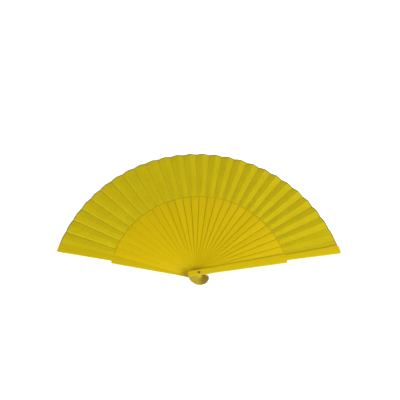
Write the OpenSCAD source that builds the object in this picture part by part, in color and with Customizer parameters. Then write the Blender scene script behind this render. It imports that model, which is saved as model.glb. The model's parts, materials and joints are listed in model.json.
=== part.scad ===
// Folding hand fan: two guards, a pile of thin ribs on one pivot pin, and a pleated cloth leaf.
// The pivot axis is Z through the origin, and z = 0 is the underside of the back guard.
// The fan is drawn fully open and lies evenly about +Y: the back guard is at the left and
// lowest in the pile, the front guard is at the right and on top.

/* [Fan] */
// Distance from the pivot to the outer edge of the leaf
leaf_r = 215; // [175:1:260]
// Distance from the pivot to the rounded end of the heads
head_r = 16; // [12:0.5:20]
// Distance from the pivot to the shoulders, where the blades end and the leaf begins
shoulder_r = 131; // [100:1:160]
// Number of ribs between the two guards
rib_count = 26; // [8:1:26]
// Angle between two neighbouring sticks when the fan is open
step_deg = 5.88; // [4:0.01:6.4]

/* [Ribs] */
// Width of every stick at its head
head_w = 8.4; // [6:0.1:11]
// How far neighbouring blades lap over each other at the shoulders
blade_lap = 1; // [0.4:0.1:3]
// Thickness of a rib's blade
blade_t = 0.48; // [0.36:0.01:0.9]
// Gap between two blades in the pile
blade_gap = 0.07; // [0.03:0.01:0.12]
// Width of a rib's strip behind the leaf, where it leaves the blade
strip_root_w = 4.4; // [3:0.1:6]
// Width of a rib's strip at its outer end
strip_tip_w = 2.8; // [1.5:0.1:5]
// Distance from the strip's end to the outer edge of the leaf
strip_back = 6; // [2:0.5:15]
// Radius of the corners at a blade's shoulder
shoulder_round = 1.2; // [0.4:0.1:2]

/* [Guards] */
// Thickness of a guard
guard_t = 2.6; // [2:0.1:4]
// Width of a guard at its shoulder
guard_w = 14.4; // [11:0.1:20]
// Step inwards from the guard's outer edge to its arm
outer_step = 3.9; // [1:0.1:5]
// Step inwards from the guard's leaf-side edge to its arm
inner_step = 2.1; // [0.5:0.1:4]
// Width of a guard's arm at its tip
arm_tip_w = 14.2; // [9:0.1:18]
// How far the guards reach past the outer edge of the leaf
arm_past = 0.5; // [0:0.5:6]

/* [Leaf] */
// Thickness of the cloth with its glue
cloth_t = 0.16; // [0.1:0.01:0.18]
// Air between a pleat and the strip of the next rib above it
leaf_gap = 0.1; // [0.05:0.01:0.15]
// Least gap between the shoulders and the inner edge of the leaf
leaf_start = 0.2; // [0.1:0.1:4]
// Width of the glued lap where the first pleat lies on the back guard
glue_lap = 2; // [1:0.1:4]
// Angle that the leaf's glued end reaches past the middle of the front guard
end_lap_deg = 1.25; // [0.8:0.01:1.3]

/* [Pivot] */
// Diameter of the pivot pin
pin_d = 2; // [1.4:0.1:3]
// Radial play between the pin and each stick
pin_play = 0.06; // [0.02:0.01:0.1]
// Diameter of the pin's two riveted heads
pin_head_d = 2.8; // [2.2:0.1:5]
// Height of the pin's two riveted heads
pin_head_t = 0.4; // [0.3:0.1:1]
// Diameter of the washer under each pin head
washer_d = 4; // [3.3:0.1:6]
// Thickness of a washer
washer_t = 0.3; // [0.2:0.1:0.6]
// Radial gap round a washer in its recess
washer_play = 0.15; // [0.1:0.05:0.5]
// Depth of the pin heads below the guards' outer faces
head_sink = 0.1; // [0.05:0.05:0.3]

/* [Hidden] */
$fn = 64;
pitch = blade_t + blade_gap;
strip_t = pitch - cloth_t - leaf_gap;
blade_w = 2 * shoulder_r * tan(step_deg / 2) + blade_lap;
span_deg = step_deg * (rib_count + 1);
front = rib_count + 1;
recess_t = washer_t + pin_head_t + head_sink;
strip_sink = 4;
leaf_in = (shoulder_r + leaf_start) / cos(step_deg * 3 / 4);
arm_end = leaf_r + arm_past;
top_z = stick_z(front) + guard_t;
wood = [0.83, 0.73, 0.06];
cloth = [0.74, 0.69, 0.12];
metal = [0.32, 0.28, 0.18];

// Direction of stick k: 0 is the back guard, rib_count + 1 the front guard
function stick_deg(k) = 90 + span_deg / 2 - step_deg * k;
// Height of the underside of stick k in the pile
function stick_z(k) = k == 0 ? 0 : guard_t + blade_gap + (k - 1) * pitch;
// Height of the underside of the pleat that stick k carries
function pleat_z(k) = k == 0 ? guard_t + blade_gap - leaf_gap - cloth_t
                    : k == front ? stick_z(k)
                    : stick_z(k) + strip_t;
function numbered(stem, n) = str(stem, n < 10 ? "_0" : "_", n);
// Point at radius r on a line turned by deg from the stick's own direction
function polar(r, deg) = [r * cos(deg), r * sin(deg)];

// Rounded head and tapering blade of a stick that is w wide at its shoulder
module blade_outline(w) {
    translate([head_w / 2 - head_r, 0]) circle(d = head_w);
    translate([head_w / 2 - head_r, -head_w / 2]) square([head_r - head_w / 2, head_w]);
    polygon([
        [0, -head_w / 2],
        [shoulder_r - shoulder_round, -w / 2],
        [shoulder_r, shoulder_round - w / 2],
        [shoulder_r, w / 2 - shoulder_round],
        [shoulder_r - shoulder_round, w / 2],
        [0, head_w / 2]
    ]);
    for (side = [-1, 1])
        translate([shoulder_r - shoulder_round, side * (w / 2 - shoulder_round)])
            circle(r = shoulder_round);
}

// Narrow strip that carries the leaf, from inside the blade to near the leaf's edge
module strip_outline() {
    tip = leaf_r - strip_back;
    polygon([
        [shoulder_r - strip_sink, -strip_root_w / 2],
        [tip, -strip_tip_w / 2],
        [tip, strip_tip_w / 2],
        [shoulder_r - strip_sink, strip_root_w / 2]
    ]);
}

// Arm of a guard, with the leaf on its +Y side
module arm_outline() {
    root_out = outer_step - guard_w / 2;
    root_in = guard_w / 2 - inner_step;
    widen = (arm_tip_w - (root_in - root_out)) / 2;
    polygon([
        [shoulder_r - strip_sink, root_out],
        [arm_end, root_out - widen],
        [arm_end, root_in + widen],
        [shoulder_r - strip_sink, root_in]
    ]);
}

module pin_hole(z0, height) {
    translate([0, 0, z0 - 1]) cylinder(d = pin_d + 2 * pin_play, h = height + 2);
}

module recess(z0) {
    translate([0, 0, z0]) cylinder(d = washer_d + 2 * washer_play, h = recess_t);
}

// Puts a stick drawn along +X in its own direction
module along(k) {
    rotate([0, 0, stick_deg(k)]) children();
}

module rib(k) {
    color(wood) along(k) translate([0, 0, stick_z(k)]) difference() {
        union() {
            linear_extrude(height = blade_t) blade_outline(blade_w);
            linear_extrude(height = strip_t) strip_outline();
        }
        pin_hole(0, blade_t);
    }
}

module back_guard() {
    color(wood) along(0) difference() {
        union() {
            linear_extrude(height = guard_t) blade_outline(guard_w);
            mirror([0, 1, 0]) linear_extrude(height = pleat_z(0)) arm_outline();
        }
        pin_hole(0, guard_t);
        recess(0);
    }
}

module front_guard() {
    base = stick_z(front);
    color(wood) along(front) difference() {
        union() {
            translate([0, 0, base]) linear_extrude(height = guard_t) blade_outline(guard_w);
            translate([0, 0, base + cloth_t])
                linear_extrude(height = guard_t - cloth_t) arm_outline();
        }
        pin_hole(base, guard_t);
        recess(top_z - recess_t);
    }
}

// Shank with a low domed head at each end
module pivot_pin() {
    color(metal) {
        translate([0, 0, head_sink + pin_head_t])
            cylinder(d = pin_d, h = top_z - 2 * (head_sink + pin_head_t));
        translate([0, 0, top_z - head_sink - pin_head_t]) pin_head();
        translate([0, 0, head_sink + pin_head_t]) mirror([0, 0, 1]) pin_head();
    }
}

// Cap of a sphere pin_head_d wide and pin_head_t high, flat side down
module pin_head() {
    cap_r = (pow(pin_head_d / 2, 2) + pow(pin_head_t, 2)) / (2 * pin_head_t);
    intersection() {
        translate([0, 0, pin_head_t - cap_r]) sphere(r = cap_r);
        cylinder(d = pin_head_d + 1, h = pin_head_t + 1);
    }
}

module washer(z0) {
    color(metal) translate([0, 0, z0]) difference() {
        cylinder(d = washer_d, h = washer_t);
        translate([0, 0, -1]) cylinder(d = pin_d + 2 * pin_play, h = washer_t + 2);
    }
}

module back_washer() {
    washer(head_sink + pin_head_t);
}

module front_washer() {
    washer(top_z - head_sink - pin_head_t - washer_t);
}

// One pleat: from a quarter step before its stick to a quarter step before the next stick
module leaf_pleat(k) {
    start_deg = step_deg / 4;
    end_deg = -step_deg * 3 / 4;
    color(cloth) along(k) translate([0, 0, pleat_z(k)]) linear_extrude(height = cloth_t) polygon([
        polar(leaf_in, start_deg),
        polar(leaf_in, end_deg),
        polar(leaf_r, end_deg),
        polar(leaf_r, start_deg)
    ]);
}

// The first pleat starts on a narrow glued lap along the back guard's arm
module first_pleat() {
    end_deg = -step_deg * 3 / 4;
    root_in = guard_w / 2 - inner_step;
    tip_in = root_in + (arm_tip_w - (guard_w - outer_step - inner_step)) / 2;
    color(cloth) along(0) translate([0, 0, pleat_z(0)]) linear_extrude(height = cloth_t) polygon([
        [leaf_in, glue_lap - root_in],
        polar(leaf_in, end_deg),
        polar(leaf_r, end_deg),
        [leaf_r, glue_lap - tip_in]
    ]);
}

// The leaf's last panel, glued under the front guard's arm
module leaf_end() {
    start_deg = step_deg / 4;
    end_deg = -end_lap_deg;
    color(cloth) along(front) translate([0, 0, pleat_z(front)]) linear_extrude(height = cloth_t)
        polygon([
            polar(leaf_in, start_deg),
            polar(leaf_in, end_deg),
            polar(leaf_r, end_deg),
            polar(leaf_r, start_deg)
        ]);
}

back_guard();
front_guard();
pivot_pin();
back_washer();
front_washer();
leaf_end();
first_pleat();  // leaf_pleat_01
for (k = [1 : rib_count])
    rib(k);
for (k = [2 : rib_count + 1])
    leaf_pleat(k - 1);
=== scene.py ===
"""Folding hand fan, fully open: lacquered guards and ribs on one pin, with a pleated cloth leaf."""
import json
import logging
import math
from dataclasses import dataclass, field
from enum import Enum
from typing import Callable

import bpy
from mathutils import Matrix, Vector

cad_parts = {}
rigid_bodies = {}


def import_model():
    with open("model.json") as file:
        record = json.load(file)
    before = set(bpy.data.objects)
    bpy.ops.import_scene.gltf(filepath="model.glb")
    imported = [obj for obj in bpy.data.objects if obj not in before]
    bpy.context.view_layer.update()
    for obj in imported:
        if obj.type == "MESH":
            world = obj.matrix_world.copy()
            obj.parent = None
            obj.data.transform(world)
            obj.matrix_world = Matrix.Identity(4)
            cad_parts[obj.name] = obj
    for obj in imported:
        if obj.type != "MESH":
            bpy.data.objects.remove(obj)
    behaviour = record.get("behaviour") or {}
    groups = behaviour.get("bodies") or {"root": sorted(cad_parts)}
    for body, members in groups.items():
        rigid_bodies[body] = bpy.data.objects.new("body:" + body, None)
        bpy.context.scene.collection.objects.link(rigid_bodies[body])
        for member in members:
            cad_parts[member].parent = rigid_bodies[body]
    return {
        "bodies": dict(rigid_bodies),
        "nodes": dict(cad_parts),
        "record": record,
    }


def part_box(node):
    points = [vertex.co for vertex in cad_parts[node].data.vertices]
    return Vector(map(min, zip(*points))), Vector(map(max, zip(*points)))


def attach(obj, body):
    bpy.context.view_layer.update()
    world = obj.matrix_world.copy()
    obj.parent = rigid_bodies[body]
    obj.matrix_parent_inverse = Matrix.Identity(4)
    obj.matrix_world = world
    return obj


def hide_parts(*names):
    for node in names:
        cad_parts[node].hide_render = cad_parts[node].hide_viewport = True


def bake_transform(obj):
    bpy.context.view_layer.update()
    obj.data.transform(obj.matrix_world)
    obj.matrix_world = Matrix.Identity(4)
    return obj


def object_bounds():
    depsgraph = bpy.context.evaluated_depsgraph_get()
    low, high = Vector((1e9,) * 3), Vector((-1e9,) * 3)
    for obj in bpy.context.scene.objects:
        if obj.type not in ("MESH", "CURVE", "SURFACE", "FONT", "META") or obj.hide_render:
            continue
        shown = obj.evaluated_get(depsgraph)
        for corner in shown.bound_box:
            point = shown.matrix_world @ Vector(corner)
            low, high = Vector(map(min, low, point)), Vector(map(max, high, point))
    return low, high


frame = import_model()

CAD_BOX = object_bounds()
MM = 0.001
HAIR = 1e-6
QUARTERS = 4
MOUNTAIN, VALLEY, NEXT_MOUNTAIN = 1.0, -1.0, -3.0
LOG = logging.getLogger("fan")

Colour = tuple[float, float, float]
Point = tuple[float, float, float]


class Body(Enum):
    """Bodies at the two ends of the pile of sticks."""

    BACK = "back_guard"
    FRONT = "front_guard"


class Side(Enum):
    """Side of a stick, as the sign of its local Y."""

    LEFT = 1
    RIGHT = -1


# ---------------------------------------------------------------- finishes


class Shader:
    """A material's node tree with short calls that add and join nodes."""

    def __init__(self, name: str) -> None:
        """Start a material that holds only its surface shader and output."""
        self.material = bpy.data.materials.new(name)
        self.material.use_nodes = True
        self.tree = self.material.node_tree
        self.surface = self.tree.nodes["Principled BSDF"]

    def add(self, kind: str, **settings: object) -> bpy.types.Node:
        """Add a node.

        Args:
            kind: the node's type, without its ShaderNode prefix.
            settings: properties of the node to set.

        Returns:
            The new node.
        """
        node = self.tree.nodes.new("ShaderNode" + kind)
        for key, value in settings.items():
            setattr(node, key, value)
        return node

    def join(self, source: bpy.types.NodeSocket, target: bpy.types.NodeSocket) -> None:
        """Link one socket to another."""
        self.tree.links.new(source, target)

    def math(self, operation: str, *values: object) -> bpy.types.NodeSocket:
        """Add a Math node.

        Args:
            operation: the node's operation.
            values: a socket or a number for each input, in order.

        Returns:
            The node's result.
        """
        node = self.add("Math", operation=operation)
        for slot, value in enumerate(values):
            if isinstance(value, (int, float)):
                node.inputs[slot].default_value = value
            else:
                self.join(value, node.inputs[slot])
        return node.outputs[0]

    def mix(self, factor: object, first: object, second: object) -> bpy.types.NodeSocket:
        """Mix two colours.

        Args:
            factor: socket or number, 0 for the first colour and 1 for the second.
            first: socket or colour.
            second: socket or colour.

        Returns:
            The mixed colour.
        """
        node = self.add("Mix", data_type="RGBA")
        for slot, value in ((0, factor), (6, first), (7, second)):
            if isinstance(value, (int, float)):
                node.inputs[slot].default_value = value
            elif isinstance(value, tuple):
                node.inputs[slot].default_value = (*value, 1.0)
            else:
                self.join(value, node.inputs[slot])
        return node.outputs[2]

    def noise(self, vector: bpy.types.NodeSocket, scale: float, detail: float = 2.0) -> bpy.types.NodeSocket:
        """Add a noise pattern on a vector and return its value."""
        node = self.add("TexNoise")
        self.join(vector, node.inputs["Vector"])
        node.inputs["Scale"].default_value = scale
        node.inputs["Detail"].default_value = detail
        return node.outputs["Fac"]

    def spread(self, value: bpy.types.NodeSocket, low: float, high: float,
               to_low: float = 0.0, to_high: float = 1.0) -> bpy.types.NodeSocket:
        """Map a value from one range to another, held inside the second."""
        node = self.add("MapRange", clamp=True)
        self.join(value, node.inputs["Value"])
        for key, number in (("From Min", low), ("From Max", high), ("To Min", to_low), ("To Max", to_high)):
            node.inputs[key].default_value = number
        return node.outputs["Result"]

    def bump(self, height: bpy.types.NodeSocket, strength: float, depth: float) -> None:
        """Raise the surface by a height pattern that is depth metres deep."""
        node = self.add("Bump")
        node.inputs["Strength"].default_value = strength
        node.inputs["Distance"].default_value = depth
        self.join(height, node.inputs["Height"])
        self.join(node.outputs["Normal"], self.surface.inputs["Normal"])

    def polar(self) -> tuple[bpy.types.NodeSocket, bpy.types.NodeSocket, bpy.types.NodeSocket]:
        """Distance from the pivot, angle about it and height, from Object coordinates."""
        place = self.add("TexCoord").outputs["Object"]
        parts = self.add("SeparateXYZ")
        self.join(place, parts.inputs[0])
        x, y, z = parts.outputs
        reach = self.math("SQRT", self.math("ADD", self.math("MULTIPLY", x, x), self.math("MULTIPLY", y, y)))
        return reach, self.math("ARCTAN2", y, x), z

    def vector(self, x: object, y: object, z: object) -> bpy.types.NodeSocket:
        """Put three sockets or numbers together as a vector."""
        node = self.add("CombineXYZ")
        for slot, value in enumerate((x, y, z)):
            if isinstance(value, (int, float)):
                node.inputs[slot].default_value = value
            else:
                self.join(value, node.inputs[slot])
        return node.outputs[0]


@dataclass(frozen=True)
class Lacquer:
    """Coloured lacquer over fine-grained wood, worn to bare wood at the heads, whose bare rims get painted
    shade towards +X.

    A line width above 0 is for the ribs, whose "stick" UV map also places the bare parts and the painted
    shadow lines along each blade's exposed edge and shoulder.
    """

    name: str
    colour: Colour = (0.655, 0.475, 0.0006)
    deep: Colour = (0.59, 0.415, 0.0004)
    # Painted shadow colour of the dark lines along the ribs' exposed edges and shoulders.
    painted_edge_shadow: Colour = (0.20, 0.125, 0.001)
    bare: Colour = (0.34, 0.265, 0.010)
    # Painted shade colour that darkens the heads' rims towards +X, in random streaks.
    painted_shade: Colour = (0.14, 0.088, 0.03)
    bare_share: float = 0.9
    bare_reach: tuple[float, float] = (17.0 * MM, 24.0 * MM)
    bare_end: tuple[float, float] = (-5.0 * MM, -2.0 * MM)
    # Painted shade on the rims: where it starts and where it is full, along X.
    shade_from: float = 0.0
    shade_to: float = 5.0 * MM
    # Painted shadow lines on the ribs: width along the exposed edge, angles over which they fade out to the
    # left, reach over which they start from the pivot, and the shoulder's band.
    shadow_line_width: float = 0.0
    shadow_fade_angles: tuple[float, float] = (1.9, 2.5)
    shadow_start: tuple[float, float] = (15.0 * MM, 60.0 * MM)
    shoulder_shadow: tuple[float, float] = (130.0 * MM, 130.8 * MM)
    roughness: float = 0.36
    coat: float = 0.1
    specular: float = 0.25
    grain_depth: float = 0.00004

    def build(self) -> bpy.types.Material:
        """Make the material, with its grain running along each stick."""
        s = Shader(self.name)
        reach, angle, z = s.polar()
        along = s.math("MULTIPLY", reach, 30.0)
        across = s.math("MULTIPLY", angle, 260.0)
        layer = s.math("MULTIPLY", z, 900.0)
        grain = s.noise(s.vector(along, across, layer), 1.0, 4.0)
        broad = s.vector(s.math("MULTIPLY", reach, 4.0), s.math("MULTIPLY", angle, 5.0), layer)
        tone = s.noise(broad, 1.0, 1.0)
        shade = s.math("ADD", s.math("MULTIPLY", grain, 0.45), s.math("MULTIPLY", tone, 0.55))
        paint = s.mix(s.spread(shade, 0.35, 0.65), self.deep, self.colour)
        # Painted shadow lines along the ribs' exposed edges and shoulders.
        if self.shadow_line_width:
            paint = s.mix(self.edge(s, angle), paint, self.painted_edge_shadow)
        paint = s.mix(self.wear(s, reach), paint, self.rim(s, angle, z))
        s.join(paint, s.surface.inputs["Base Color"])
        gloss = s.spread(grain, 0.2, 0.8, self.roughness - 0.04, self.roughness + 0.07)
        s.join(gloss, s.surface.inputs["Roughness"])
        s.surface.inputs["Specular IOR Level"].default_value = self.specular
        s.surface.inputs["Coat Weight"].default_value = self.coat
        s.surface.inputs["Coat Roughness"].default_value = 0.12
        s.bump(grain, 0.35, self.grain_depth)
        return s.material

    @staticmethod
    def stick_place(s: Shader) -> tuple[bpy.types.NodeSocket, bpy.types.NodeSocket]:
        """Distance along a rib from the pivot, and in from the blade's left edge."""
        parts = s.add("SeparateXYZ")
        s.join(s.add("UVMap", uv_map="stick").outputs[0], parts.inputs[0])
        return parts.outputs[0], parts.outputs[1]

    def edge(self, s: Shader, angle: bpy.types.NodeSocket) -> bpy.types.NodeSocket:
        """Share of painted shadow: a dark line along a blade's exposed left edge for the shadow at the step
        down to the rib below, fading out near the pivot and towards the left where those edges are lit, and a
        dark band from the shoulder on.
        """
        out, inward = self.stick_place(s)
        line = s.spread(inward, 0.0, self.shadow_line_width, 0.95, 0.0)
        line = s.math("MULTIPLY", line, s.spread(out, *self.shadow_start, 0.0, 1.0))
        # The painted shadow fades out towards the left, where those edges are lit.
        line = s.math("MULTIPLY", line, s.spread(angle, *self.shadow_fade_angles, 1.0, 0.1))
        return s.math("MAXIMUM", line, s.spread(out, *self.shoulder_shadow, 0.0, 0.6))

    def wear(self, s: Shader, reach: bpy.types.NodeSocket) -> bpy.types.NodeSocket:
        """Share of bare wood: on the upright rims round all heads, and all over the ribs' heads."""
        normal = s.add("SeparateXYZ")
        s.join(s.add("NewGeometry").outputs["Normal"], normal.inputs[0])
        upright = s.spread(s.math("ABSOLUTE", normal.outputs[2]), 0.3, 0.75, self.bare_share, 0.0)
        rims = s.math("MULTIPLY", upright, s.spread(reach, *self.bare_reach, 1.0, 0.0))
        if not self.shadow_line_width:
            return rims
        out, _ = self.stick_place(s)
        return s.math("MAXIMUM", rims, s.spread(out, *self.bare_end, self.bare_share, 0.0))

    def rim(self, s: Shader, angle: bpy.types.NodeSocket, z: bpy.types.NodeSocket) -> bpy.types.NodeSocket:
        """Colour of the bare rims: streaked down the pile, and darkened by painted shade towards +X, where
        the lower heads lie in shade.
        """
        place = s.add("SeparateXYZ")
        s.join(s.add("TexCoord").outputs["Object"], place.inputs[0])
        streak = s.noise(s.vector(s.math("MULTIPLY", angle, 9.0), s.math("MULTIPLY", z, 60.0), 0.0), 1.0, 2.0)
        # Painted shade: the rims darken towards +X, where the pile's lower heads lie in shade; the streaks
        # vary it at random.
        side = s.spread(place.outputs[0], self.shade_from, self.shade_to)
        dark = s.math("ADD", s.math("MULTIPLY", side, 0.75), s.spread(streak, 0.4, 0.7, -0.15, 0.35))
        return s.mix(dark, self.bare, self.painted_shade)


@dataclass(frozen=True)
class Cloth:
    """Plain woven cotton, stiffened, read from the leaf's own UV map in metres."""

    name: str
    colour: Colour = (0.545, 0.432, 0.004)
    shade: Colour = (0.45, 0.355, 0.003)
    hem: Colour = (0.125, 0.13, 0.035)
    # Painted highlight and painted shade: a pale line on one side of each valley fold and a dark line on the
    # other, where light and shade fall on the crease.
    painted_highlight: Colour = (0.66, 0.54, 0.012)
    painted_shade: Colour = (0.34, 0.26, 0.004)
    highlight_at: float = -1.22
    shade_at: float = -0.86
    fold_width: float = 0.24
    thread: float = 0.00042
    hem_width: float = 0.002
    leaf_out: float = 0.215

    def build(self) -> bpy.types.Material:
        """Make the material: threads over and under, blotchy dye, a painted highlight and a painted shade
        line beside each valley fold, and a darker cut edge.
        """
        s = Shader(self.name)
        uv = s.add("UVMap", uv_map="cloth")
        parts = s.add("SeparateXYZ")
        s.join(uv.outputs[0], parts.inputs[0])
        x, y = parts.outputs[0], parts.outputs[1]
        turns = 2.0 * math.pi / (2.0 * self.thread)
        warp = s.math("SINE", s.math("MULTIPLY", x, turns))
        weft = s.math("SINE", s.math("MULTIPLY", y, turns))
        weave = s.math("ABSOLUTE", s.math("MULTIPLY", warp, weft))
        slub = s.noise(s.vector(s.math("MULTIPLY", x, 2600.0), s.math("MULTIPLY", y, 160.0), 0.0), 1.0, 2.0)
        blotch = s.noise(uv.outputs[0], 35.0, 3.0)
        tone = s.math("ADD", s.math("MULTIPLY", blotch, 0.5),
                      s.math("ADD", s.math("MULTIPLY", slub, 0.25), s.math("MULTIPLY", weave, 0.25)))
        dye = s.mix(s.spread(tone, 0.3, 0.7), self.shade, self.colour)
        place = s.add("Attribute", attribute_name="place").outputs["Fac"]
        # Painted highlight and painted shade beside each valley fold.
        for fold, colour, share in ((self.highlight_at, self.painted_highlight, 0.6), (self.shade_at, self.painted_shade, 0.6)):
            away = s.math("ABSOLUTE", s.math("SUBTRACT", place, fold))
            dye = s.mix(s.spread(away, 0.0, self.fold_width, share, 0.0), dye, colour)
        reach = s.math("SQRT", s.math("ADD", s.math("MULTIPLY", x, x), s.math("MULTIPLY", y, y)))
        edge = s.spread(reach, self.leaf_out - self.hem_width, self.leaf_out - 0.5 * self.hem_width)
        s.join(s.mix(s.math("MULTIPLY", edge, 0.9), dye, self.hem), s.surface.inputs["Base Color"])
        s.surface.inputs["Roughness"].default_value = 0.75
        s.surface.inputs["Specular IOR Level"].default_value = 0.05
        s.surface.inputs["Sheen Weight"].default_value = 0.02
        s.surface.inputs["Sheen Roughness"].default_value = 0.5
        s.bump(s.math("ADD", s.math("MULTIPLY", weave, 0.7), s.math("MULTIPLY", slub, 0.3)), 0.5, 0.00006)
        return s.material


@dataclass(frozen=True)
class Metal:
    """Turned and riveted metal, dulled by handling."""

    name: str
    colour: Colour = (0.11, 0.07, 0.015)
    dirt: Colour = (0.04, 0.025, 0.006)
    metallic: float = 0.6
    roughness: float = 0.38

    def build(self) -> bpy.types.Material:
        """Make the material, with rings from turning and dark patches."""
        s = Shader(self.name)
        reach, angle, _ = s.polar()
        around = s.vector(s.math("MULTIPLY", reach, 9000.0), s.math("MULTIPLY", angle, 0.6), 0.0)
        rings = s.noise(around, 1.0, 2.0)
        patch = s.noise(s.add("TexCoord").outputs["Object"], 900.0, 3.0)
        s.join(s.mix(s.spread(patch, 0.4, 0.65), self.colour, self.dirt), s.surface.inputs["Base Color"])
        s.surface.inputs["Metallic"].default_value = self.metallic
        gloss = s.spread(rings, 0.2, 0.8, self.roughness - 0.08, self.roughness + 0.12)
        s.join(gloss, s.surface.inputs["Roughness"])
        s.bump(rings, 0.3, 0.00002)
        return s.material


@dataclass(frozen=True)
class Backdrop:
    """Plain pale matt surface under the fan, with a painted glow."""

    name: str
    colour: Colour = (0.93, 0.93, 0.93)
    # Painted glow of the floor, which washes out the fan's shadow on it.
    painted_glow: float = 0.5
    shade_out: float = 0.2
    shade_half: float = 1.36

    def build(self) -> bpy.types.Material:
        """Make the material: a painted glow that whitens the floor and washes out the fan's shadow on it,
        left off where the open fan lies so that the floor under it stays in shade.
        """
        s = Shader(self.name)
        reach, angle, _ = s.polar()
        # The painted glow is left off over the open fan's footprint.
        inside = s.spread(reach, self.shade_out - 20 * MM, self.shade_out, 1.0, 0.0)
        turned = s.math("ABSOLUTE", s.math("SUBTRACT", angle, math.pi / 2))
        between = s.spread(turned, self.shade_half - 0.05, self.shade_half, 1.0, 0.0)
        covered = s.math("MULTIPLY", inside, between)
        s.join(s.spread(covered, 0.0, 1.0, self.painted_glow, 0.0), s.surface.inputs["Emission Strength"])
        s.surface.inputs["Base Color"].default_value = (*self.colour, 1.0)
        s.surface.inputs["Roughness"].default_value = 0.9
        s.surface.inputs["Specular IOR Level"].default_value = 0.1
        s.surface.inputs["Emission Color"].default_value = (1, 1, 1, 1)
        return s.material


# ---------------------------------------------------------------- sizes read from the frame


@dataclass
class Pile:
    """The pile of sticks, as the frame gives it: stick 0 is the back guard, the last the front guard."""

    ribs: int = 0
    step: float = 0.0
    span: float = 0.0
    leaf_in: float = 0.0
    leaf_out: float = 0.0
    cloth: float = 0.0
    heights: list[float] = field(default_factory=list)

    def __post_init__(self) -> None:
        """Read the number of ribs, the opening and the leaf's radii."""
        self.ribs = sum(name.startswith("rib_") for name in frame["bodies"])
        self.span = max(math.radians(joint["range_deg"][1]) for joint in self.joints())
        self.step = self.span / (self.ribs + 1)
        reaches = [v.co.xy.length for v in frame["nodes"][self.pleat_node(self.ribs // 2)].data.vertices]
        self.leaf_in, self.leaf_out = min(reaches), max(reaches)
        boxes = [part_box(self.pleat_node(stick)) for stick in range(self.front + 1)]
        self.heights = [(low[2] + high[2]) / 2 for low, high in boxes]
        self.cloth = boxes[0][1][2] - boxes[0][0][2]

    @staticmethod
    def joints() -> list[dict]:
        """The record's joints."""
        return frame["record"]["behaviour"]["joints"]

    @property
    def front(self) -> int:
        """Number of the front guard in the pile."""
        return self.ribs + 1

    @property
    def quarter(self) -> float:
        """A quarter of the angle between two sticks, in radians."""
        return self.step / QUARTERS

    def body(self, stick: int) -> str:
        """Name of the body of a stick."""
        if stick == 0:
            return Body.BACK.value
        return Body.FRONT.value if stick == self.front else f"rib_{stick:02d}"

    def pleat_node(self, stick: int) -> str:
        """Name of the node of the pleat that starts on a stick."""
        return "leaf_end" if stick == self.front else f"leaf_pleat_{stick + 1:02d}"

    def angle(self, stick: int) -> float:
        """Direction of a stick, in radians from +X."""
        return math.pi / 2 + self.span / 2 - self.step * stick

    def room(self, fold: float) -> float:
        """Height that a fold may have and still fit under the front guard when the fan is closed."""
        return 2 * (self.heights[self.front] - self.heights[min(int(fold), self.ribs)] - self.cloth)


# ---------------------------------------------------------------- helpers for modelling


def deselect_all() -> None:
    """Leave nothing selected and no object in edit mode."""
    if bpy.context.object and bpy.context.object.mode != "OBJECT":
        bpy.ops.object.mode_set(mode="OBJECT")
    bpy.ops.object.select_all(action="DESELECT")


def pick_vertices(piece: bpy.types.Object, test: Callable[[Vector], bool]) -> None:
    """Select in edit mode only the vertices that pass a test.

    Args:
        piece: the object being edited.
        test: says of a vertex's place whether it is wanted.
    """
    bpy.ops.mesh.select_all(action="DESELECT")
    bpy.ops.object.mode_set(mode="OBJECT")
    for vertex in piece.data.vertices:
        vertex.select = test(vertex.co)
    bpy.ops.object.mode_set(mode="EDIT")
    bpy.ops.mesh.select_mode(type="VERT")


def turn_mesh(piece: bpy.types.Object, angle: float) -> None:
    """Turn an object's mesh about the pivot axis and leave the object itself at the origin."""
    piece.data.transform(Matrix.Rotation(angle, 4, "Z") @ piece.matrix_world)
    piece.matrix_world = Matrix.Identity(4)


def apply_modifiers(piece: bpy.types.Object) -> None:
    """Apply every modifier of a piece, in order."""
    deselect_all()
    piece.select_set(True)
    bpy.context.view_layer.objects.active = piece
    for modifier in list(piece.modifiers):
        bpy.ops.object.modifier_apply(modifier=modifier.name)


def dress(piece: bpy.types.Object, material: bpy.types.Material) -> None:
    """Give a piece one material all over."""
    piece.data.materials.clear()
    piece.data.materials.append(material)


# ---------------------------------------------------------------- sticks


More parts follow.
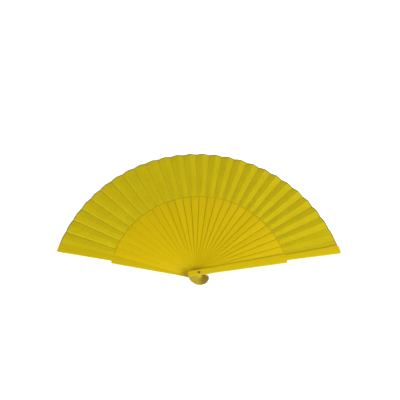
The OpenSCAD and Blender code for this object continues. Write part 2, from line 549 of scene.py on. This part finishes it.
@dataclass
class Stick:
    """What every stick has: a rounded head with the pin's hole, and a blade that widens to its shoulder."""

    pile: Pile
    head_width: float = 8.4 * MM
    head_reach: float = 16.0 * MM
    shoulder: float = 131.0 * MM
    hole: float = 2.12 * MM

    def draw_blade(self, shoulder_width: float) -> bpy.types.Object:
        """Draw the head and both sides of the blade as an open line along +X.

        Args:
            shoulder_width: width of the blade at its shoulder.

        Returns:
            The line's object, at the origin and in edit mode.
        """
        head_r = self.head_width / 2
        centre = head_r - self.head_reach
        deselect_all()
        bpy.ops.mesh.primitive_circle_add(vertices=48, radius=head_r, location=(centre, 0, 0))
        piece = bpy.context.object
        piece.data.transform(piece.matrix_world)
        piece.matrix_world = Matrix.Identity(4)
        bpy.ops.object.mode_set(mode="EDIT")
        pick_vertices(piece, lambda co: co.x > centre + HAIR)
        bpy.ops.mesh.delete(type="VERT")
        self.carry_ends(piece, 0.0, head_r)
        self.carry_ends(piece, self.shoulder, shoulder_width / 2)
        return piece

    @staticmethod
    def carry_ends(piece: bpy.types.Object, x: float, half: float, middle: float = 0.0) -> None:
        """Extrude the line's two open ends to a new distance from the pivot.

        Args:
            piece: the outline being drawn, in edit mode.
            x: where the ends go.
            half: half of their distance apart there.
            middle: local Y halfway between them there.
        """
        bpy.ops.object.mode_set(mode="OBJECT")
        reach = max(v.co.x for v in piece.data.vertices)
        ends = {v.index for v in piece.data.vertices if v.co.x > reach - HAIR}
        bpy.ops.object.mode_set(mode="EDIT")
        pick_vertices(piece, lambda co: co.x > reach - HAIR)
        bpy.ops.mesh.extrude_region_move(TRANSFORM_OT_translate={"value": (x - reach, 0, 0)})
        bpy.ops.object.mode_set(mode="OBJECT")
        fresh = [v for v in piece.data.vertices if v.select and v.index not in ends]
        halfway = sum(v.co.y for v in fresh) / len(fresh)
        for vertex in fresh:
            vertex.co.y = middle + math.copysign(half, vertex.co.y - halfway)
        bpy.ops.object.mode_set(mode="EDIT")

    @staticmethod
    def round_corners(piece: bpy.types.Object, *corners: tuple[Callable[[Vector], bool], float]) -> None:
        """Close the outline with a face, round its corners and leave edit mode.

        Args:
            piece: the outline being drawn, in edit mode.
            corners: tests that say which corners to round, each with its radius.
        """
        bpy.ops.mesh.select_all(action="SELECT")
        bpy.ops.mesh.edge_face_add()
        for test, radius in corners:
            pick_vertices(piece, test)
            bpy.ops.mesh.bevel(affect="VERTICES", offset=radius, segments=5)
        bpy.ops.object.mode_set(mode="OBJECT")

    @staticmethod
    def thicken(piece: bpy.types.Object, low: float, high: float, rim: float, steps: int) -> None:
        """Give the outline its thickness and round its rims.

        Args:
            piece: the flat outline.
            low: height of the underside.
            high: height of the top.
            rim: radius of the rounded rims.
            steps: number of faces across a rim.
        """
        piece.data.transform(Matrix.Translation((0, 0, low)))
        deselect_all()
        piece.select_set(True)
        bpy.context.view_layer.objects.active = piece
        bpy.ops.object.mode_set(mode="EDIT")
        bpy.ops.mesh.select_all(action="SELECT")
        bpy.ops.mesh.extrude_region_move(TRANSFORM_OT_translate={"value": (0, 0, high - low)})
        bpy.ops.mesh.select_all(action="SELECT")
        bpy.ops.mesh.normals_make_consistent(inside=False)
        bpy.ops.object.mode_set(mode="OBJECT")
        soften = piece.modifiers.new("soft_rims", "BEVEL")
        soften.width = rim
        soften.segments = steps
        soften.limit_method = "ANGLE"
        soften.angle_limit = math.radians(60)
        apply_modifiers(piece)
        bpy.ops.object.shade_smooth_by_angle(angle=math.radians(35))

    @staticmethod
    def drill(piece: bpy.types.Object, width: float, start: float, end: float) -> None:
        """Cut a round hole on the pivot axis between two heights."""
        deselect_all()
        bpy.ops.mesh.primitive_cylinder_add(vertices=48, radius=width / 2, depth=end - start,
                                            location=(0, 0, (start + end) / 2))
        cutter = bpy.context.object
        cut = piece.modifiers.new("drill", "BOOLEAN")
        cut.object = cutter
        cut.solver = "EXACT"
        apply_modifiers(piece)
        bpy.data.objects.remove(cutter, do_unlink=True)


@dataclass
class Guard(Stick):
    """A guard: a thick stick whose arm steps in past the shoulder and carries the leaf's end."""

    shoulder_width: float = 14.4 * MM
    arm_root: tuple[float, float] = (-3.3 * MM, 5.1 * MM)
    arm_tip: tuple[float, float] = (-6.2 * MM, 8.0 * MM)
    recess: float = 4.3 * MM
    recess_depth: float = 0.8 * MM
    rim: float = 1.25 * MM
    corner: float = 1.6 * MM
    tip_corner: float = 2.8 * MM

    def build(self, stick: int, material: bpy.types.Material) -> bpy.types.Object:
        """Model a guard in place of its plain solid.

        Args:
            stick: number of the guard in the pile.
            material: the lacquer.

        Returns:
            The finished piece, riding on its own body.
        """
        node = self.pile.body(stick)
        low, high = (corner[2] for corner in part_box(node))
        is_front = stick == self.pile.front
        tip = max(v.co.xy.length for v in frame["nodes"][node].data.vertices)
        tip = math.sqrt(tip ** 2 - max(abs(y) for y in self.arm_tip) ** 2)
        piece = self.outline(Side.LEFT if is_front else Side.RIGHT, tip)
        piece.name = piece.data.name = node + "_lacquered"
        self.thicken(piece, low, high, self.rim, 5)
        self.drill(piece, self.hole, low - MM, high + MM)
        if is_front:
            self.drill(piece, self.recess, high - self.recess_depth, high + MM)
        else:
            self.drill(piece, self.recess, low - MM, low + self.recess_depth)
        turn_mesh(piece, self.pile.angle(stick))
        dress(piece, material)
        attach(piece, node)
        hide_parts(node)
        return piece

    def outline(self, leaf_side: Side, tip: float) -> bpy.types.Object:
        """Draw the guard's outline as a flat face along +X.

        Args:
            leaf_side: the side on which the leaf lies.
            tip: distance from the pivot to the arm's end.

        Returns:
            An object that holds the one face, at the origin.
        """
        piece = self.draw_blade(self.shoulder_width)
        for x, (outer, inner) in ((self.shoulder + 0.4 * MM, self.arm_root), (tip, self.arm_tip)):
            self.carry_ends(piece, x, (inner - outer) / 2, leaf_side.value * (outer + inner) / 2)
        near = 0.1 * MM
        self.round_corners(piece, (lambda co: abs(co.x - self.shoulder) < near, self.corner),
                           (lambda co: co.x > tip - near, self.tip_corner))
        return piece


@dataclass
class Rib(Stick):
    """A rib: a thin blade and, past its shoulder, a narrow strip that leans with the panel it carries."""

    leaf: "Leaf" = field(kw_only=True)
    thickness: float = 0.48 * MM
    lap: float = 1.0 * MM
    corner: float = 0.4 * MM
    rim: float = 0.13 * MM
    strip_root: float = 4.4 * MM
    strip_tip: float = 2.8 * MM
    strip_back: float = 6.0 * MM
    strip_thickness: float = 0.25 * MM
    strip_sink: float = 2.0 * MM
    glue: float = 0.01 * MM
    strip_rows: int = 24

    def build(self, material: bpy.types.Material) -> None:
        """Model one blade, copy it for each rib and join each copy to its own strip.

        Args:
            material: the lacquer.
        """
        pattern = self.blade()
        for stick in range(1, self.pile.front):
            node = self.pile.body(stick)
            piece = bpy.data.objects.new(node + "_lacquered", pattern.data.copy())
            bpy.context.scene.collection.objects.link(piece)
            strip = self.strip(stick)
            deselect_all()
            strip.select_set(True)
            piece.select_set(True)
            bpy.context.view_layer.objects.active = piece
            bpy.ops.object.join()
            piece.data.name = piece.name
            self.mark_edge(piece.data)
            dress(piece, material)
            lift = Matrix.Translation((0, 0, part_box(node)[0][2]))
            piece.data.transform(lift @ Matrix.Rotation(self.pile.angle(stick), 4, "Z"))
            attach(piece, node)
            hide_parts(node)
        LOG.info("ribs: %d of %d faces each", self.pile.ribs, len(piece.data.polygons))
        bpy.data.objects.remove(pattern, do_unlink=True)

    def mark_edge(self, mesh: bpy.types.Mesh) -> None:
        """Store each point's distance along the rib and in from the blade's left edge, in metres."""
        while mesh.uv_layers:
            mesh.uv_layers.remove(mesh.uv_layers[0])
        layer = mesh.uv_layers.new(name="stick")
        for loop in mesh.loops:
            x, y, _ = mesh.vertices[loop.vertex_index].co
            half = (self.head_width + (self.width - self.head_width) * max(0.0, x) / self.shoulder) / 2
            layer.data[loop.index].uv = (x, max(0.0, half - y))

    @property
    def width(self) -> float:
        """Width of the blade at its shoulder."""
        return 2 * self.shoulder * math.tan(self.pile.step / 2) + self.lap

    def blade(self) -> bpy.types.Object:
        """Model the blade along +X, with its underside at height 0."""
        piece = self.draw_blade(self.width)
        self.round_corners(piece, (lambda co: co.x > self.shoulder - 0.1 * MM, self.corner))
        self.thicken(piece, 0.0, self.thickness, self.rim, 2)
        self.drill(piece, self.hole, -MM, MM)
        return piece

    def strip(self, stick: int) -> bpy.types.Object:
        """Model a rib's strip along +X, just under the slope of the panel that is glued on it."""
        start, end = self.shoulder - self.strip_sink, self.pile.leaf_out - self.strip_back
        deselect_all()
        bpy.ops.mesh.primitive_grid_add(x_subdivisions=self.strip_rows, y_subdivisions=4, size=1)
        piece = bpy.context.object
        carried = self.pile.heights[1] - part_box(self.pile.body(1))[0][2]
        top = carried - self.pile.cloth / 2 - self.glue - self.strip_thickness / 2
        for vertex in piece.data.vertices:
            along = vertex.co.x + 0.5
            x = start + (end - start) * along
            y = vertex.co.y * (self.strip_root + (self.strip_tip - self.strip_root) * along)
            place = math.atan2(y, x) / self.pile.quarter
            lean = self.leaf.depth(stick, max(x, self.leaf.inner)) / 2
            vertex.co = (x, y, top + lean * place)
        body = piece.modifiers.new("thickness", "SOLIDIFY")
        body.thickness = self.strip_thickness
        body.offset = 0.0
        apply_modifiers(piece)
        bpy.ops.object.shade_smooth_by_angle(angle=math.radians(35))
        return piece


# ---------------------------------------------------------------- leaf


@dataclass
class Leaf:
    """The pleated leaf: one piece for each stick, meeting its neighbours along the mountain folds.

    A place across a pleat is counted in quarters of the angle between two sticks: the stick is
    at 0, MOUNTAIN is the fold at its left, VALLEY the fold at its right, and NEXT_MOUNTAIN the
    fold where the next stick's pleat begins.
    """

    pile: Pile
    slope_left: float = 0.075
    slope_reach: float = 0.35
    flare: float = 0.6
    flare_reach: float = 16.0 * MM
    slope_right: float = 0.155
    flatten: float = 0.38
    flatten_reach: float = 7.0 * MM
    crease: float = 0.12 * MM
    groove: float = 0.55 * MM
    crease_width: float = 1.0 * MM
    puff: float = 0.16
    waver: float = 0.10 * MM
    waver_length: float = 9.0 * MM
    waver_reach: float = 30.0 * MM
    lap_start: float = -1.15
    arm_edge: float = 1.5
    arm_end: float = -0.85
    columns: int = 40
    rows: int = 28

    @property
    def inner(self) -> float:
        """Distance from the pivot to the leaf's inner edge, close against the shoulders."""
        return self.pile.leaf_in * math.cos(3 * self.pile.quarter)

    def depth(self, fold: float, radius: float) -> float:
        """Height from valley to mountain at a fold; the pleats flatten towards the shoulders and the left."""
        out = min(1.0, (radius - self.inner) / self.flatten_reach)
        ease = self.flatten + (1 - self.flatten) * math.sin(out * math.pi / 2)
        rise = min(1.0, fold / (self.slope_reach * self.pile.front))
        slope = self.slope_left + (self.slope_right - self.slope_left) * rise
        rim = max(0.0, 1.0 - (self.pile.leaf_out - radius) / self.flare_reach)
        open_depth = ease * slope * 2 * self.pile.quarter * radius * (1 + self.flare * rim ** 2)
        return min(self.pile.room(fold), open_depth)

    def wander(self, fold: float, radius: float) -> float:
        """Small rise or fall of a fold along its length, as pressed cloth has."""
        fade = min(1.0, (radius - self.inner) / self.waver_reach)
        return self.waver * math.sin(fold * 2.4 + radius / self.waver_length) * fade

    def ridge(self, place: float, fold: float, radius: float) -> float:
        """How much of the pressed crease at a fold is left at a place a little way from it."""
        away = abs(place - fold) * self.pile.quarter * radius
        out = min(1.0, (radius - self.inner) / self.flatten_reach)
        return out * math.exp(-away / self.crease_width)

    def height(self, stick: int, place: float, radius: float) -> float:
        """Height of the middle of the cloth.

        Args:
            stick: the stick that the pleat starts on.
            place: where across the pleat, in quarters.
            radius: distance from the pivot.

        Returns:
            The height above the back guard's underside, in metres.
        """
        base = self.pile.heights[stick]
        half = self.depth(stick, radius) / 2
        if stick == self.pile.front:
            return base
        creases = 0.0
        if stick + 1 < self.pile.front:
            creases = self.crease * self.ridge(place, NEXT_MOUNTAIN, radius)
        if stick > 0:
            raised = self.crease * self.ridge(place, MOUNTAIN, radius)
            creases += raised - self.groove * self.ridge(place, VALLEY, radius)
        if stick > 0 and place > VALLEY:
            lift = (1 + place) / 2 * self.wander(stick, radius)
            return base + half * place + creases + lift
        following = self.pile.heights[stick + 1]
        start, low = (VALLEY, base - half) if stick > 0 else (-self.arm_edge, base)
        end, high = self.arm_edge - QUARTERS, following
        if stick + 1 < self.pile.front:
            end = NEXT_MOUNTAIN
            high = following + self.depth(stick + 1, radius) / 2 + self.wander(stick + 1, radius)
        along = min(1.0, max(0.0, (place - start) / (end - start)))
        return low + (high - low) * along + self.puff * half * math.sin(math.pi * along) + creases

    def limits(self, stick: int) -> tuple[float, float]:
        """Places where a pleat starts and ends, in quarters."""
        if stick == 0:
            return self.lap_start, NEXT_MOUNTAIN
        return MOUNTAIN, self.arm_end if stick == self.pile.front else NEXT_MOUNTAIN

    def spread_place(self, stick: int, share: float) -> float:
        """Place of a column of points, with the columns drawn close together at the folds.

        Args:
            stick: the stick that the pleat starts on.
            share: the column's share of the way across, from 0 to 1.

        Returns:
            The place, in quarters.
        """
        start, end = self.limits(stick)
        panels = 2 if 0 < stick < self.pile.front else 1
        panel = min(int(share * panels), panels - 1)
        inside = share * panels - panel
        inside -= 0.85 * math.sin(2 * math.pi * inside) / (2 * math.pi)
        return start + (end - start) * (panel + inside) / panels

    def flat_size(self, stick: int) -> tuple[float, float, float]:
        """Width at the outer edge, length and area of a pleat's cloth when it is ironed flat."""
        widths = []
        for radius in (self.inner, self.pile.leaf_out):
            width, last = 0.0, None
            for step in range(self.columns + 1):
                place = self.spread_place(stick, step / self.columns)
                point = (radius * self.pile.quarter * place, self.height(stick, place, radius))
                if last:
                    width += math.dist(point, last)
                last = point
            widths.append(width)
        length = self.pile.leaf_out - self.inner
        return widths[1], length, (widths[0] + widths[1]) / 2 * length

    def pleat(self, stick: int, material: bpy.types.Material) -> bpy.types.Object:
        """Model the pleat that starts on one stick.

        Args:
            stick: number of the stick in the pile.
            material: the cloth.

        Returns:
            The finished piece.
        """
        deselect_all()
        bpy.ops.mesh.primitive_grid_add(x_subdivisions=self.columns, y_subdivisions=self.rows, size=1)
        piece = bpy.context.object
        piece.name = piece.data.name = f"leaf_cloth_{stick + 1:02d}"
        mesh = piece.data
        places = []
        for vertex in mesh.vertices:
            place = self.spread_place(stick, vertex.co.x + 0.5)
            radius = self.inner + (self.pile.leaf_out - self.inner) * (vertex.co.y + 0.5)
            angle = self.pile.angle(stick) + place * self.pile.quarter
            height = self.height(stick, place, radius)
            vertex.co = (radius * math.cos(angle), radius * math.sin(angle), height)
            places.append(place)
        mesh.flip_normals()
        self.unwrap(mesh)
        self.remember(mesh, places)
        self.finish_cloth(piece)
        dress(piece, material)
        self.attach(piece, stick)
        return piece

    @staticmethod
    def unwrap(mesh: bpy.types.Mesh) -> None:
        """Store each point's place from the pivot, in metres, as the cloth's UV map."""
        while mesh.uv_layers:
            mesh.uv_layers.remove(mesh.uv_layers[0])
        layer = mesh.uv_layers.new(name="cloth")
        for loop in mesh.loops:
            layer.data[loop.index].uv = mesh.vertices[loop.vertex_index].co.xy

    @staticmethod
    def remember(mesh: bpy.types.Mesh, places: list[float]) -> None:
        """Keep each point's place across the pleat as an attribute of the mesh."""
        attribute = mesh.attributes.new("place", "FLOAT", "POINT")
        attribute.data.foreach_set("value", places)

    def finish_cloth(self, piece: bpy.types.Object) -> None:
        """Give the cloth its thickness and keep the folds crisp."""
        wall = piece.modifiers.new("thickness", "SOLIDIFY")
        wall.thickness = self.pile.cloth
        wall.offset = 0.0
        apply_modifiers(piece)
        bpy.ops.object.shade_smooth_by_angle(angle=math.radians(22))

    def attach(self, piece: bpy.types.Object, stick: int) -> None:
        """Args:
            piece: the pleat.
            stick: number of the stick that it starts on.
        """
        if stick == self.pile.front:
            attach(piece, self.pile.body(stick))
        else:
            self.fold_between(piece, stick)
        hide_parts(self.pile.pleat_node(stick))
        width, length, area = self.flat_size(stick)
        self.pile.body(stick)

    def fold_between(self, piece: bpy.types.Object, stick: int) -> None:
        """Bake the pleat's placement into its mesh and read each point's place across the pleat.
        """
        pile = self.pile
        pile.body(stick + 1)
        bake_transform(piece)
        places = [0.0] * len(piece.data.vertices)
        piece.data.attributes["place"].data.foreach_get("value", places)

    def build(self, material: bpy.types.Material) -> None:
        """Model every pleat and the end under the front guard."""
        for stick in range(self.pile.front + 1):
            piece = self.pleat(stick, material)
            LOG.info("%s: %d faces", piece.name, len(piece.data.polygons))


# ---------------------------------------------------------------- pin


@dataclass
class Pivot:
    """Pin and washers, which keep their own solids and get a finish."""

    def build(self, pin: bpy.types.Material, washer: bpy.types.Material) -> None:
        """Give the pin and the washers their metals."""
        dress(frame["nodes"]["pivot_pin"], pin)
        for name in ("back_washer", "front_washer"):
            dress(frame["nodes"][name], washer)
        LOG.info("pivot: pin and two washers")


# ---------------------------------------------------------------- studio


@dataclass
class Studio:
    """Pale floor, soft lights and the camera."""

    azimuth: float = 3.78
    elevation: float = 60.26
    roll: float = 4.79
    distance: float = 0.6473
    lens: float = 36.17
    target: Point = (0.0011, 0.125, 0.009)
    floor_size: float = 6.0
    horizon: float = 0.9
    ceiling: float = 0.05
    fade_heights: tuple[float, float] = (0.2, 0.6)

    def build(self) -> None:
        """Set up the whole studio."""
        self.lay_floor()
        self.hang_lights()
        self.aim_camera()
        scene = bpy.context.scene
        scene.view_settings.view_transform = "Standard"
        scene.view_settings.look = "None"
        LOG.info("studio: floor, lights and camera")

    def lay_floor(self) -> None:
        """Lay the floor just under the back guard."""
        deselect_all()
        bpy.ops.mesh.primitive_plane_add(size=self.floor_size, location=(0, 0, CAD_BOX[0][2] - 0.0002))
        floor = bpy.context.object
        floor.name = "floor"
        dress(floor, Backdrop("pale_floor").build())

    def area_light(self, name: str, place: Point, size: tuple[float, float], power: float) -> None:
        """Hang a soft light, size metres wide and high, that faces the middle of the leaf."""
        data = bpy.data.lights.new(name, "AREA")
        data.shape = "RECTANGLE"
        data.size, data.size_y = size
        data.energy = power
        lamp = bpy.data.objects.new(name, data)
        bpy.context.scene.collection.objects.link(lamp)
        aim = Vector(self.target) - Vector(place)
        lamp.matrix_world = Matrix.Translation(place) @ aim.to_track_quat("-Z", "Y").to_matrix().to_4x4()

    def hang_lights(self) -> None:
        """Hang the key light at the right and a fill above the front."""
        self.area_light("key", (1.0, -0.65, 1.3), (1.0, 1.0), 30.0)
        self.area_light("fill", (-0.5, -0.95, 1.35), (1.2, 1.2), 15.0)
        self.light_world()

    def light_world(self) -> None:
        """Surround the fan with white that is bright at the horizon and dim overhead."""
        world = bpy.data.worlds.new("pale_studio")
        bpy.context.scene.world = world
        world.use_nodes = True
        tree = world.node_tree
        place = tree.nodes.new("ShaderNodeTexCoord")
        split = tree.nodes.new("ShaderNodeSeparateXYZ")
        fade = tree.nodes.new("ShaderNodeMapRange")
        tree.links.new(place.outputs["Generated"], split.inputs[0])
        tree.links.new(split.outputs[2], fade.inputs["Value"])
        low, high = self.fade_heights
        settings = {"From Min": low, "From Max": high, "To Min": self.horizon, "To Max": self.ceiling}
        for key, number in settings.items():
            fade.inputs[key].default_value = number
        background = tree.nodes["Background"]
        background.inputs["Color"].default_value = (1, 1, 1, 1)
        tree.links.new(fade.outputs["Result"], background.inputs["Strength"])

    def aim_camera(self) -> None:
        """Place the camera, aim it and tilt its horizon."""
        azimuth, elevation = math.radians(self.azimuth), math.radians(self.elevation)
        out = Vector((-math.sin(azimuth) * math.cos(elevation),
                      -math.cos(azimuth) * math.cos(elevation), math.sin(elevation)))
        data = bpy.data.cameras.new("camera")
        data.lens = self.lens
        data.sensor_width = 36.0
        data.clip_start = 0.01
        camera = bpy.data.objects.new("camera", data)
        bpy.context.scene.collection.objects.link(camera)
        aim = (-out).to_track_quat("-Z", "Y").to_matrix().to_4x4()
        place = Matrix.Translation(Vector(self.target) + out * self.distance)
        camera.matrix_world = place @ aim @ Matrix.Rotation(math.radians(self.roll), 4, "Z")
        bpy.context.scene.camera = camera


def main() -> None:
    """Build the fan and the studio round it."""
    logging.basicConfig(level=logging.INFO, format="%(message)s")
    pile = Pile()
    Studio().build()
    # The guards' lacquer is a darker copy of the ribs' colour: painted shade that offsets the brighter light
    # on the guards.
    lacquer = Lacquer("guard_lacquer", (0.58, 0.43, 0.0006), (0.53, 0.385, 0.0004), coat=0.6).build()
    for stick in (0, pile.front):
        guard = Guard(pile).build(stick, lacquer)
        LOG.info("%s: %d faces", guard.name, len(guard.data.polygons))
    leaf = Leaf(pile)
    Rib(pile, leaf=leaf).build(Lacquer("rib_lacquer", shadow_line_width=0.9 * MM).build())
    washer = Metal("washer_metal", (0.62, 0.46, 0.05), (0.45, 0.32, 0.04), 0.35)
    Pivot().build(Metal("pin_metal").build(), washer.build())
    leaf.build(Cloth("leaf_cotton", leaf_out=pile.leaf_out).build())


if __name__ == "__main__":
    main()
